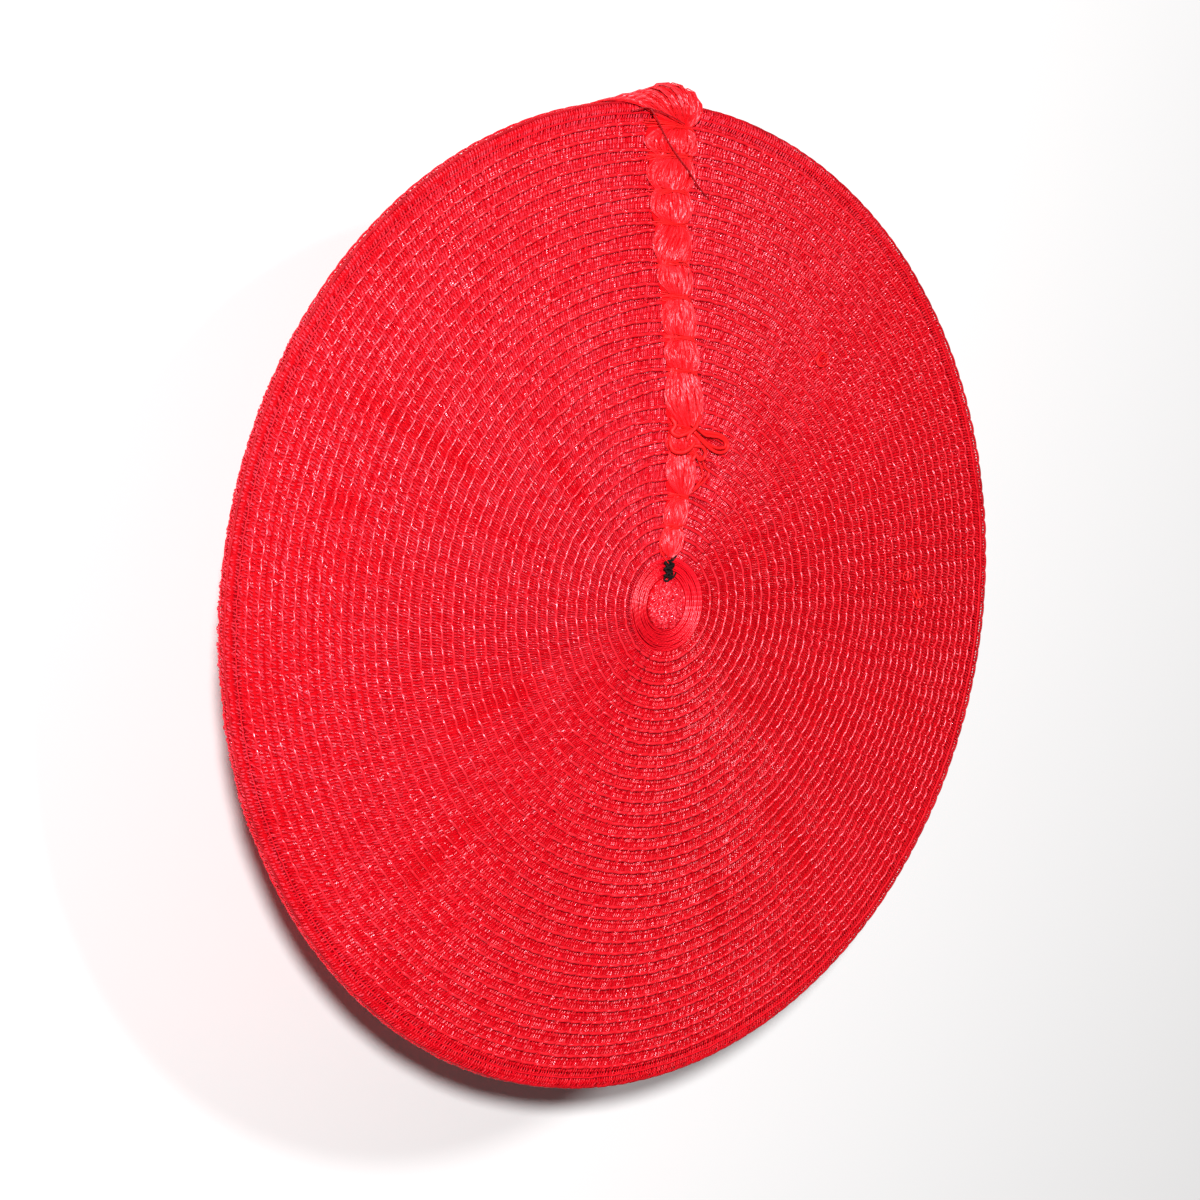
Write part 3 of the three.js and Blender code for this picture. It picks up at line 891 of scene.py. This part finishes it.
# Short grains of wool in all directions: a spiral with the golden angle spreads them evenly
def makePatchGrains():
    rng = np.random.default_rng(951)
    count = centre["grains"]
    number = np.arange(count) + 0.5
    spread = centre["patchRadius"] * (0.99 * np.sqrt(number / count))
    angle = np.mod(number * math.pi * (3 - math.sqrt(5)), fullTurn)
    way = rng.normal(0.9, 0.55, (count, 1))
    steps = np.array((-0.5, -0.18, 0.18, 0.5))[None]
    length = centre["grainLength"] * rng.uniform(0.6, 1.25, (count, 1))
    x = (spread * np.cos(angle))[:, None] + length * np.cos(way) * steps
    y = (spread * np.sin(angle))[:, None] + length * np.sin(way) * steps
    reach = np.clip(np.hypot(x, y) / centre["patchRadius"], 0, 1.03)
    rise = centre["grainRise"] * rng.uniform(0.1, 1.5, (count, 1)) * (1 - (2 * steps) ** 2)
    place, normal = patchPlace(np.arctan2(y, x), reach, rise - 0.0002)
    size = centre["grainHalfWidth"] * rng.uniform(0.7, 1.3, (count, 1))
    tone = rng.normal(0.1, 0.5, count)
    roll = rng.normal(0, 0.6, count)
    grains = pinchedStitches(place, normal, size, 0.7 * size, 3, tone, roll)
    tubePiece("patchGrains", [grains], yarns["patchWool"], smooth=False)


# The dark knot: one thread wound round and round along a short line, in two lumps, in mm, and its
# two loose ends
knot = {
    "top": 19.0, "bottom": 10.6, "aside": -1.2, "turns": 8.5, "steps": 130, "halfWidth": 0.00052,
    "halfSpread": 2.1, "waistShare": 0.42, "waistAt": 0.62, "waistWidth": 0.12, "rise": 1.5,
    "lift": 0.9, "ends": {
        "endUp": (0.0004, ((18.6, 0.4, 1.4), (20.2, 1.6, 1.6), (21.0, 3.0, 1.2))),
        "endDown": (0.0004, ((11.4, 0.2, 1.6), (12.6, 2.0, 1.4), (13.6, 2.9, 1.0))),
    },
}


def makeKnot():
    share = np.linspace(0, 1, knot["steps"])
    waist = np.exp(-((share - knot["waistAt"]) / knot["waistWidth"]) ** 2)
    spread = knot["halfSpread"] * (1 - (1 - knot["waistShare"]) * waist)
    spread = spread * (0.75 + 0.35 * np.sin(math.pi * np.clip(share * 1.05, 0, 1)) ** 0.5)
    phase = fullTurn * knot["turns"] * share
    aside = knot["aside"] + spread * np.sin(phase) + 0.5 * np.sin(2.3 * phase + 1)
    along = knot["top"] - (knot["top"] - knot["bottom"]) * share + 0.8 * np.sin(1.37 * phase)
    arch = 0.6 + 0.4 * np.sin(math.pi * share)
    lift = knot["lift"] + knot["rise"] * 0.5 * (1 + np.cos(phase)) * arch
    place, normal = placeOn(crownProfile(along / 1000), math.pi / 2 - aside / along, lift / 1000)
    width = knot["halfWidth"] * (1 - 0.5 * np.abs(2 * share - 1) ** 8)
    body = threadTubes(place, normal, width, width, 5, 0.0)
    parts = [body] + looseTubes(knot["ends"], 971, 5)
    piece = tubePiece("knotThread", parts, yarns["darkThread"])
    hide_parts("centre_knot")


makeFolds()
makePatchBody()
makePatchGrains()
makeKnot()
print("centre made")

# Thin stray threads that lie over the seam and the net, given as the loose ends of yarn are
strayThreads = {
    "strayLong": (0.00040, (
        (206.0, -13.0, 5.0), (203.0, -11.0, 5.6), (198.5, -8.0, 5.8), (192.0, -3.4, 5.4),
        (186.0, 1.8, 5.4), (181.2, 6.6, 5.4), (176.6, 12.0, 3.6), (173.4, 17.0, 1.8),
        (170.6, 21.4, 1.2))),
    "strayShort": (0.00028, (
        (204.6, -20.3, 1.6), (206.0, -14.0, 3.4), (205.0, -7.6, 5.0), (202.4, -0.6, 6.2),
        (200.2, 5.0, 6.0))),
}
# Snags: small loops of yarn pulled out of the net, with the middle in mm from the axis, the
# radii of the loop, its turn, and how many times it goes round
snags = (
    ((148.4, 8.0), (3.6, 2.4), 0.3, 1.2), ((154.6, 0.6), (4.6, 1.6), 2.2, 0.8),
    ((158.5, -4.0), (3.4, 2.6), 1.0, 1.4), ((87.8, 104.1), (4.0, 3.0), 0.6, 1.7),
)
snagHalfWidth = 0.00034


def makeSnags():
    rng = np.random.default_rng(991)
    share = np.linspace(0, 1, 26)
    size = 1 - 0.3 * share
    lift = 0.0004 + 0.0012 * np.sin(math.pi * share) + 0.0004 * share
    parts = []
    for middle, radii, turn, rounds in snags:
        phase = fullTurn * rounds * share
        x = radii[0] * size * np.cos(phase)
        y = radii[1] * size * np.sin(phase)
        right = (middle[0] + x * math.cos(turn) - y * math.sin(turn)) / 1000
        ahead = (middle[1] + x * math.sin(turn) + y * math.cos(turn)) / 1000
        distance, angle = np.hypot(right, ahead), np.arctan2(ahead, right)
        place, normal = placeOn(crownProfile(distance), angle, lift)
        tone = rng.normal(0.2, 0.1)
        parts.append(threadTubes(place, normal, snagHalfWidth, snagHalfWidth, 5, tone))
    tubePiece("snagLoops", parts, yarns["tieYarn"])


tubePiece("strayThreads", looseTubes(strayThreads, 981, 4), yarns["strayThread"])
makeSnags()
print("stray threads made")

# Crown: string rings a hand-wound distance apart, with rows of fine stitches between them. Dashes
# are the arched stretches of a ring, one for each cell between two radial lines
net = {
    "firstRing": 0.0135, "ringPitch": 0.00505, "ringCount": 38, "foldsInside": 2,
    "bandRings": 5, "lineDrift": 0.45, "faintLines": 0.25,
    "dashLength": 0.0071, "dashSteps": 5, "dashShares": (0.0, 0.12, 0.37, 0.63, 0.88),
    "dashRise": 0.0015, "dashDip": 0.0013, "dashSlant": 0.0003, "faintRise": 0.25,
    "ringSettle": 0.3, "tangleSink": 1.5,
    "ringWobble": 0.00014, "ringLift": 0.00045, "ringHalfWidth": 0.00056, "ringSpread": 0.00042,
    "ringHalfHeight": 0.0005, "ringsInside": 25,
    "stitchPitchInside": 0.00078, "stitchPitchGrowth": 0.00075, "stitchHalfWidth": 0.32,
    "stitchHalfHeight": 0.00025, "stitchRoll": 0.45, "stitchSink": 0.0005, "stitchRise": 0.0011,
    "stitchSpans": ((-0.07, 0.57), (0.43, 1.07)), "stitchShares": (0.0, 0.24, 0.76, 1.0),
    "stitchLean": -0.0010, "leanSpread": 0.0005,
    "stitchBands": ((0, 17), (17, 26), (26, 32), (32, 37)),
    "orderly": 0.38, "looseLean": 0.0007, "looseShorter": 0.7, "foldDepth": 0.0005,
    # painted sheen towards the lit side and painted shade on the far side, and painted shade where the
    # stitches are drawn apart
    "paintedLightShare": 0.62, "paintedLightTowards": 135.0, "openPaintedShade": 1.1,
    "gatherShare": 0.11, "gatherReach": 0.022, "gatherFrom": 0.03, "gatherTo": 0.204,
    "puckerHeight": 0.0006,
    "groundSteps": 180, "groundSink": 0.0015, "groundRidge": 0.0012, "centreSink": 0.0009,
    "edgeLap": 0.0024, "coilDepth": 0.0005, "underDepth": 0.0037,
}
# The tangle at the left rim: where along the radius it comes and goes, and how wide and strong
tangle = {"from": 0.11, "fadeIn": 0.06, "to": 0.216, "fadeOut": 0.006, "width": 0.7, "share": 0.5}

# Places where the stitches are drawn apart and the ground shows: angle round the hat in degrees,
# the stretch along the radius from and to in metres, the half width, and how far they open
openFade = 0.012
openPlaces = (
    (164.8, 0.150, 0.180, 0.004, 1.0), (150.8, 0.110, 0.182, 0.004, 0.7),
    (222.0, 0.120, 0.172, 0.004, 0.9), (287.0, 0.110, 0.168, 0.004, 0.8),
    (308.6, 0.100, 0.170, 0.005, 1.0), (332.0, 0.080, 0.140, 0.005, 0.9),
    (340.5, 0.130, 0.200, 0.005, 0.8), (203.9, 0.070, 0.125, 0.004, 0.9),
    (136.0, 0.055, 0.100, 0.004, 0.7), (22.0, 0.085, 0.150, 0.005, 0.6),
    (318.0, 0.045, 0.090, 0.004, 0.8), (346.0, 0.025, 0.060, 0.003, 0.7),
)


# How far the stitches are drawn apart, 0 to 1, from the places above and closing noise
def openness(angle, distance):
    streaks = roundNoise(angle, distance, 90, 4, 11) + 0.6 * roundNoise(angle, distance, 210, 7, 12)
    total = 0.35 * smoothStep((streaks - 0.35) / 0.9)
    for towards, start, end, spread, gape in openPlaces:
        aside = np.mod(angle - math.radians(towards) + math.pi, fullTurn) - math.pi
        aside = aside * distance
        inside = smoothStep((distance - start) / openFade)
        inside = inside * smoothStep((end - distance) / openFade)
        total = total + gape * np.exp(-(aside / spread) ** 2) * inside
    return np.clip(total, 0, 1)


# Slow rise and fall of the whole net: soft radial puckers
def pucker(angle, distance):
    share = smoothStep(distance / 0.06)
    wide = roundNoise(angle, distance, 34, 3, 21)
    narrow = roundNoise(angle, distance, 120, 5, 22)
    return net["puckerHeight"] * share * (0.6 * wide + 0.4 * narrow)


# The radial lines that part the net into cells keep one count through a band of rings and
# drift a little from side to side. Gives the count and the drift at an angle
def radialLines(ringIndex, angle):
    band = ringIndex // net["bandRings"]
    middle = net["firstRing"] + net["ringPitch"] * net["bandRings"] * (band + 0.5)
    count = max(12, round(fullTurn * middle / net["dashLength"]))
    drift = net["lineDrift"] * roundNoise(angle, noiseReach * band / 8, 46, 8, 35)
    return count, drift * fullTurn / count


# How deep the radial lines are: deep on the two sides, faint at the front and the back
def lineDepth(angle, distance):
    sides = np.cos(angle) ** 2
    near = smoothStep((distance - 0.02) / 0.05)
    uneven = 0.8 + 0.35 * roundNoise(angle, distance, 60, 9, 36)
    return near * uneven * (net["faintLines"] + (1 - net["faintLines"]) * sides)


# Near the seam each ring bends along the radius towards the tie that holds it
def gather(angle, distance):
    distance = distance + 0 * angle
    index = np.clip(np.searchsorted(seamEnds, distance) - 1, 0, len(seamEnds) - 2)
    gap = seamEnds[index + 1] - seamEnds[index]
    pull = -net["gatherShare"] * gap * np.sin(fullTurn * (distance - seamEnds[index]) / gap)
    aside = distance * np.cos(angle) - np.interp(distance, seamEnds, seamAsides)
    near = np.exp(-(aside / net["gatherReach"]) ** 2) * (np.sin(angle) > 0)
    pull = pull * near * smoothStep((distance - net["gatherFrom"]) / 0.02)
    return pull * smoothStep((net["gatherTo"] - distance) / 0.01)


# How much the left rim's tangle hides its rings, 0 to 1
def tangled(angle, distance):
    aside = np.mod(angle, fullTurn) - math.pi
    inside = smoothStep((distance - tangle["from"]) / tangle["fadeIn"])
    inside = inside * smoothStep((tangle["to"] - distance) / tangle["fadeOut"])
    return tangle["share"] * inside * np.exp(-(aside / tangle["width"]) ** 2)


# Painted light and shade in the strands' tone: paler and pinker towards the side the lamps light, and
# the tangle most of all, as painted sheen, and deeper on the far side as painted shade
def paintedSideLight(angle, distance):
    towards = 0.5 + 0.5 * np.cos(angle - math.radians(net["paintedLightTowards"]))
    return net["paintedLightShare"] * (2 * smoothStep(1.2 * towards) - 1) + 0.35 * tangled(angle, distance)


def ringDistances():
    return net["firstRing"] + net["ringPitch"] * np.arange(net["ringCount"])


# One ring of string: a closed wave of dashes, each rising between two dips and leaning a
# little across the ring's line
def ringPath(ringIndex, distance, seed, profile, wobble, relief=1.0):
    rng = np.random.default_rng(seed)
    count, _ = radialLines(ringIndex, np.zeros(1))
    share = np.tile(net["dashShares"], count)
    base = fullTurn * (np.repeat(np.arange(count), net["dashSteps"]) + share) / count
    angle = base - radialLines(ringIndex, base)[1]
    bumpy = np.repeat(rng.uniform(0.7, 1.2, count), net["dashSteps"])
    slant = np.repeat(rng.normal(0.7, 0.4, count), net["dashSteps"])
    depth = lineDepth(angle, distance)
    wave = np.sin(math.pi * share) ** 0.6 * bumpy
    rise = net["dashRise"] * wave - net["dashDip"]
    rise = depth * rise + (1 - depth) * (net["faintRise"] * net["dashRise"] * wave)
    level = np.sin(angle) ** 2
    settled = net["ringSettle"] * level + net["tangleSink"] * tangled(angle, distance)
    rise = relief * rise + net["ringLift"] * (1 - settled)
    across = net["dashSlant"] * (0.5 - share) * slant + wobble(angle)
    place, normal = placeOn(profile(across, angle), angle, rise)
    return angle, place, normal, bumpy


def makeCrownRings():
    parts = []
    for index, distance in list(enumerate(ringDistances()))[net["foldsInside"]:]:
        def wobble(angle, distance=distance):
            fine = roundNoise(angle, distance, 60, 40, 31) + roundNoise(angle, distance, 170, 40, 32)
            return net["ringWobble"] * smoothStep(distance / 0.05) * fine

        def profile(across, angle, distance=distance):
            spot = crownProfile(distance + across + gather(angle, distance))
            return (*spot[:1], spot[1] + pucker(angle, distance), *spot[2:])

        angle, place, normal, bumpy = ringPath(index, distance, 400 + index, profile, wobble)
        # Ring tone: a little random, taller dashes painted lighter, and painted highlight: paler on
        # the two sides where the rings catch the lamps, slightly deeper between them
        tone = 0.3 * (bumpy - 0.95) / 0.25 + 0.3 * roundNoise(angle, distance, 50, 12, 33)
        tone = tone + 0.7 * np.cos(angle) ** 2 - 0.2
        level = np.sin(angle) ** 2
        width = net["ringHalfWidth"] + net["ringSpread"] * level
        height = net["ringHalfHeight"] * (1 - 0.4 * level)
        parts.append(threadTubes(place, normal, width, height, 4, tone, loop=True))
    inner, outer = parts[:net["ringsInside"]], parts[net["ringsInside"]:]
    tubePiece("ringStringsInner", inner, yarns["ringString"])
    tubePiece("ringStringsOuter", outer, yarns["ringString"])


# Rows of stitches between two rings: an inner and an outer line of short fat stitches, leaning
# the same way, sunk at the radial lines and thinned where the net is drawn apart. The line
# gives distance, height and normal at a share of the way across the row
def stitchRow(ringIndex, line, count, seed):
    rng = np.random.default_rng(seed)
    parts = []
    share = np.array(net["stitchShares"])
    for half, (start, end) in enumerate(net["stitchSpans"]):
        spots = np.arange(count) + 0.5 * half
        middle = line(np.full(1, 0.5 * (start + end)), np.zeros(1))[0][0]
        loose = tangled(fullTurn * spots / count, middle)
        free = net["orderly"] + (1 - net["orderly"]) * loose
        angle = fullTurn * (spots + 0.3 * free * rng.uniform(-1, 1, count)) / count
        gape = openness(angle, middle)
        lineCount, drift = radialLines(ringIndex, angle)
        cell = np.mod((angle + drift) * lineCount / fullTurn, 1)
        pillow = np.sin(math.pi * cell) ** 0.5 - 0.6
        fold = net["foldDepth"] * lineDepth(angle, middle) * pillow
        lean = net["stitchLean"] + net["leanSpread"] * roundNoise(angle, middle, 40, 38, 41)
        lean = (lean + rng.normal(0, net["looseLean"], count) * (free + 0.9 * loose)) / middle
        turned = angle[:, None] + lean[:, None] * (share - 0.5)[None]
        shorter = 1 - net["looseShorter"] * loose[:, None]
        shift = (0.05 * free + 0.12 * loose) * rng.uniform(-1, 1, count)
        along = start + (end - start) * (0.5 + (share[None] - 0.5) * shorter) + shift[:, None]
        arch = np.sin(math.pi * share)[None]
        rise = net["stitchRise"] * (1 + free * rng.uniform(-0.7, 0.5, count))[:, None] * arch
        rise = rise - net["stitchSink"] * (1 + gape[:, None] - loose[:, None]) + fold[:, None]
        rise = rise + pucker(turned, middle)
        place, normal = placeOn(line(along, turned), turned, rise)
        size = (rng.uniform(0.75, 1.15, count) * (1 - 0.4 * gape))[:, None]
        halfWidth = net["stitchHalfWidth"] * (fullTurn * middle / count) * size
        # The stitches' tone: random, painted darker where the net is drawn apart as painted shade, and
        # shifted paler on the lit side and deeper on the far side as painted sheen and painted shade
        tone = rng.normal(0, 0.35, count) - net["openPaintedShade"] * gape + paintedSideLight(angle, middle)
        roll = rng.normal(0, net["stitchRoll"], count) * (0.4 + 1.2 * free)
        parts.append(pinchedStitches(
            place, normal, halfWidth, net["stitchHalfHeight"] * size, 3, tone, roll))
    return joinTubes(parts)


def makeCrownStitches():
    distances = ringDistances()
    parts = []
    for index in range(net["foldsInside"] - 1, len(distances) - 1):
        inner, outer = max(distances[index], centre["end"]), distances[index + 1]

        def line(share, angle, inner=inner, outer=outer):
            distance = inner + (outer - inner) * share
            return crownProfile(distance + gather(angle, distance))

        middle = (inner + outer) / 2
        pitch = net["stitchPitchInside"] + net["stitchPitchGrowth"] * middle / noiseReach
        parts.append(stitchRow(index, line, round(fullTurn * middle / pitch), 600 + index))
    for number, (start, end) in enumerate(net["stitchBands"]):
        tubePiece(f"stitchBand{number + 1}", parts[start:end], yarns["netString"],
                  smooth=False)


# The wound ground under the stitches, in a darker string as painted shade for the gaps: the dome with
# soft valleys between the rings on top and plain coils underneath
def makeCrownGround():
    angle = fullTurn * np.arange(net["groundSteps"])[None] / net["groundSteps"]
    top = np.concatenate((
        np.linspace(0.002, net["firstRing"], 5),
        net["firstRing"] + net["ringPitch"] * np.arange(1, 2 * net["ringCount"] - 1) / 2,
        [hat["crownEdge"], hat["crownEdge"] + net["edgeLap"]]))
    under = np.concatenate(([hat["crownEdge"] + 0.001], np.arange(0.199, 0.004, -0.004)))
    underRing = np.cos(fullTurn * (top - net["firstRing"]) / net["ringPitch"])
    outside = smoothStep((top - centre["end"] + 0.002) / 0.003)
    ridge = net["groundRidge"] * (0.5 + 0.5 * underRing) ** 0.6 * outside
    sink = net["groundSink"] + net["centreSink"] * (1 - outside)
    topPlace, _ = placeOn(
        crownProfile(top[:, None] + gather(angle, top[:, None])), angle,
        pucker(angle, top[:, None]) + (ridge - sink)[:, None])
    coil = net["coilDepth"] * np.cos(math.pi * np.arange(len(under)))[:, None]
    underPlace, _ = placeOn(
        crownProfile(under[:, None]), angle, coil - net["underDepth"] + 0 * angle)
    apex = domeHeight(0.0)
    poles = onAxis(apex - net["groundSink"] - net["centreSink"], apex - net["underDepth"])
    ground = shellPiece(
        "crownGround", np.concatenate((topPlace, underPlace)), poles,
        (np.concatenate((top, under))[:, None], 0.0, 0.2), yarns["groundStringPaintedShade"])
    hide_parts("crown_top")


makeCrownGround()
makeCrownRings()
makeCrownStitches()
print("crown made")

# Rim: the last ring lies on the cord's inner shoulder and a fatter scalloped bead runs along its outer
# edge, painted darker as painted shade at the edge, with rows of stitches from ring to ring round to
# the underside
rim = {
    "bodyRadius": 0.0031, "bodySteps": (12, 240), "cordLift": 0.0004,
    "turns": (-20.0, 58.0, 112.0, 160.0, 206.0), "bead": 1, "beadHalfWidth": 0.0008,
    "beadHalfHeight": 0.0006, "beadPaintedShade": 1.1, "cordWobble": 0.0002, "stitchPitch": 0.00136,
    "relief": 0.35,
}


def rimCordTubes(index, middle, radius):
    def wobble(angle):
        return rim["cordWobble"] * roundNoise(angle, 0.1 + 0 * angle, 170, 4, 50 + index)

    def profile(across, angle):
        return rimProfile(middle + across / radius, radius)

    halfWidth, halfHeight, sides, tone = net["ringHalfWidth"], net["ringHalfHeight"], 4, 0.0
    if index == rim["bead"]:
        halfWidth, halfHeight, sides = rim["beadHalfWidth"], rim["beadHalfHeight"], 6
        tone = rim["beadPaintedShade"]
    angle, place, normal, bumpy = ringPath(
        net["ringCount"], hat["rimRing"], 700 + index, profile, wobble, rim["relief"])
    thin = 1 - 0.6 * tangled(angle, hat["rimRing"])
    # Cord tone: taller dashes painted a little lighter; the bead is painted deep as painted shade
    # along the rim's outer edge
    tone = 0.3 * (bumpy - 0.95) / 0.25 - tone
    return threadTubes(
        place, normal, thin * halfWidth, thin * halfHeight, sides, tone, loop=True)


def makeRim():
    rowCount, ringCount = rim["bodySteps"]
    turn = fullTurn * np.arange(rowCount)[:, None] / rowCount
    around = fullTurn * np.arange(ringCount)[None] / ringCount
    rows, _ = placeOn(rimProfile(turn, rim["bodyRadius"]), around, 0.0)
    # the rim's body takes the ground's darker string, painted shade under the cords and stitches
    body = shellPiece("rimBody", rows, None, (turn * rim["bodyRadius"], 0.0, 0.0),
                      yarns["groundStringPaintedShade"])
    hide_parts("rim_cord")
    turns = np.radians(rim["turns"])
    radius = rim["bodyRadius"] + rim["cordLift"]
    cords = [rimCordTubes(index, middle, radius) for index, middle in enumerate(turns)]
    tubePiece("rimStrings", cords, yarns["edgeString"])

    # From the crown's last ring across to the rim's first, then round the rim
    lastRing = ringDistances()[-1]

    def bridge(share, angle):
        start = crownProfile(lastRing)
        end = rimProfile(turns[0], radius)
        return tuple(first + (second - first) * share for first, second in zip(start, end))

    count = round(fullTurn * hat["rimRing"] / rim["stitchPitch"])
    rows = [stitchRow(net["ringCount"], bridge, count, 760)]
    for index in range(len(turns) - 1):
        def line(share, angle, index=index):
            middle = turns[index] + (turns[index + 1] - turns[index]) * share
            return rimProfile(middle, radius)

        number = count if index < 2 else count // 2
        rows.append(stitchRow(net["ringCount"], line, number, 761 + index))
    tubePiece("rimStitches", rows, yarns["rimNetString"], smooth=False)


makeRim()
print("rim made")

# Wall: ridged by its string rings outside, plain coils inside, a flat hem to stand on
wall = {
    "rings": 30, "perRing": 3, "ridge": 0.0009, "steps": 180, "thickness": 0.0035,
    "hemHeight": 0.009, "hemProud": 0.0013, "hemRound": 0.0003, "coil": 0.0003,
    "innerRows": 31, "rowLength": 0.00125,
}


def makeWall():
    angle = fullTurn * np.arange(wall["steps"])[None] / wall["steps"]
    rowCount = wall["rings"] * wall["perRing"]
    share = np.arange(rowCount + 1) / rowCount
    height = hat["wallTop"] - (hat["wallTop"] - wall["hemHeight"]) * share ** 1.35
    ridge = wall["ridge"] * (np.abs(np.sin(math.pi * share * wall["rings"])) ** 0.7 - 0.75)
    outer, _ = placeOn(wallProfile(height[:, None]), angle, ridge[:, None] + 0 * angle)
    hemRadius = hat["openingRadius"] + wall["hemProud"]
    hemShape = ((hemRadius - wall["hemRound"], wall["hemHeight"] - 0.0012), (hemRadius, 0.004),
                (hemRadius, 0.0), (hat["openingRadius"] - wall["thickness"], 0.0))
    hem = [placeOn((radius, level, 0, 0), angle, 0.0)[0] for radius, level in hemShape]
    innerShare = np.linspace(0, 1, wall["innerRows"])
    innerHeight = wall["hemHeight"] + (hat["wallTop"] - wall["hemHeight"]) * innerShare
    coil = wall["coil"] * np.cos(math.pi * np.arange(wall["innerRows"]))
    inner, _ = placeOn(
        wallProfile(innerHeight[:, None]), angle, coil[:, None] - wall["thickness"] + 0 * angle)
    rows = np.concatenate((outer, *hem, inner))
    length = (np.arange(len(rows)) * wall["rowLength"])[:, None]
    piece = shellPiece("wallNet", rows, None, (length, np.abs(2 * angle / fullTurn - 1), 0.0),
                       yarns["wallString"])
    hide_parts("side_wall")


makeWall()
print("wall made")
